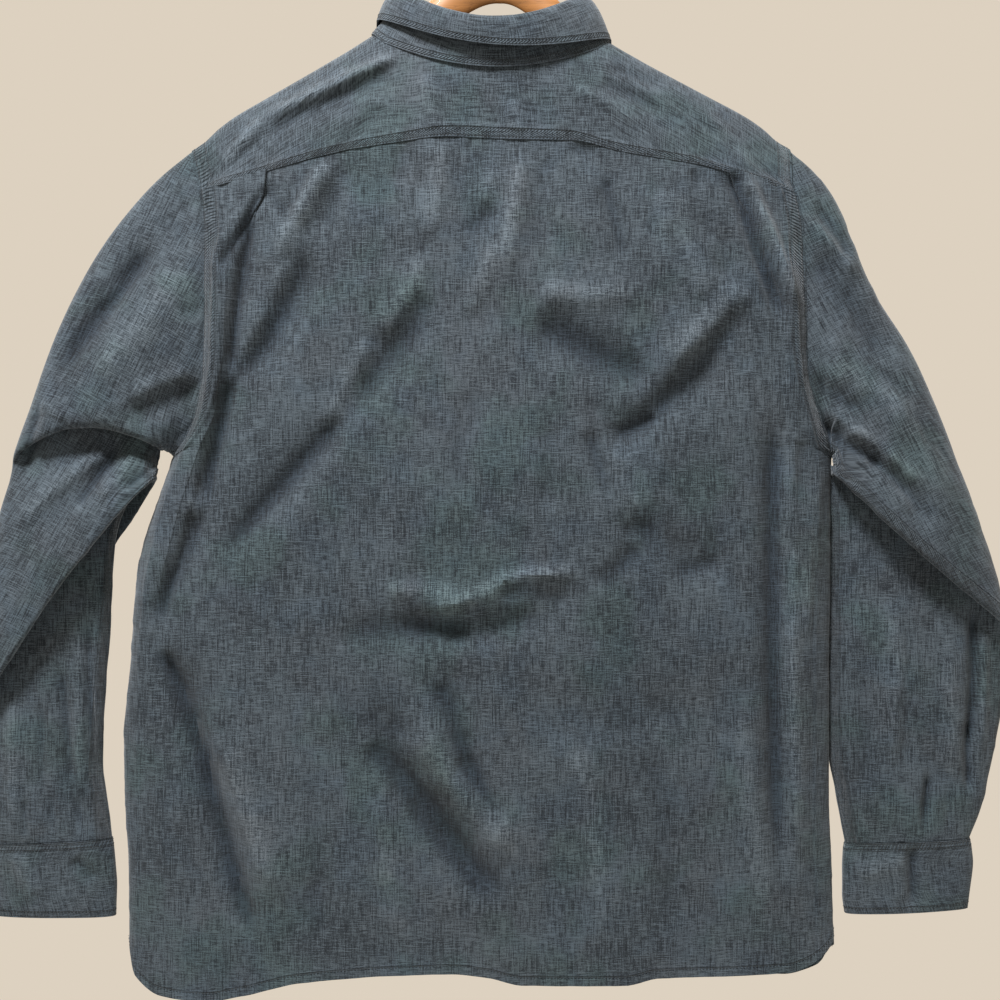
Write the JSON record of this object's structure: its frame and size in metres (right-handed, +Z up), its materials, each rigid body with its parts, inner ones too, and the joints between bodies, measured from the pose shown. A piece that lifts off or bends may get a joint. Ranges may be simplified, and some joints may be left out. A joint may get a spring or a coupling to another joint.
{
  "type": "chambray shirt on a hanger",
  "caption": "Long-sleeved button-up chambray shirt hanging on a wooden hanger with a wire hook, back yoke, side pleats, collar on a stand, and cuffs.",
  "frame": {"origin": "top of the inside of the hanger's hook, where it rests on a rail", "axes": "+Z up, +X to the right for someone who looks at the shirt's back, +Y from the back to the front of the shirt"},
  "size_m": [0.8952, 0.1111, 1.0037],
  "materials": {
    "chambray": "plain-woven blue and off-white yarn, slubby, matt, soft drape",
    "button_shell": "pale resin, soft gloss",
    "hanger_wood": "warm orange-brown lacquered wood, satin",
    "hook_steel": "polished wire"
  },
  "bodies": {
    "root": {"back_panel": "chambray", "yoke": "chambray", "front_left": "chambray", "front_right": "chambray", "front_placket": "chambray", "collar_stand": "chambray", "collar_leaf": "chambray", "sleeve_left": "chambray", "sleeve_right": "chambray", "cuff_left": "chambray", "cuff_right": "chambray", "sleeve_placket_left": "chambray", "sleeve_placket_right": "chambray", "button_front_1": "button_shell", "button_front_2": "button_shell", "button_front_3": "button_shell", "button_front_4": "button_shell", "button_front_5": "button_shell", "button_front_6": "button_shell", "button_stand": "button_shell", "button_cuff_left": "button_shell", "button_cuff_right": "button_shell", "hanger_wood": "hanger_wood", "hanger_hook": "hook_steel"}
  },
  "joints": []
}
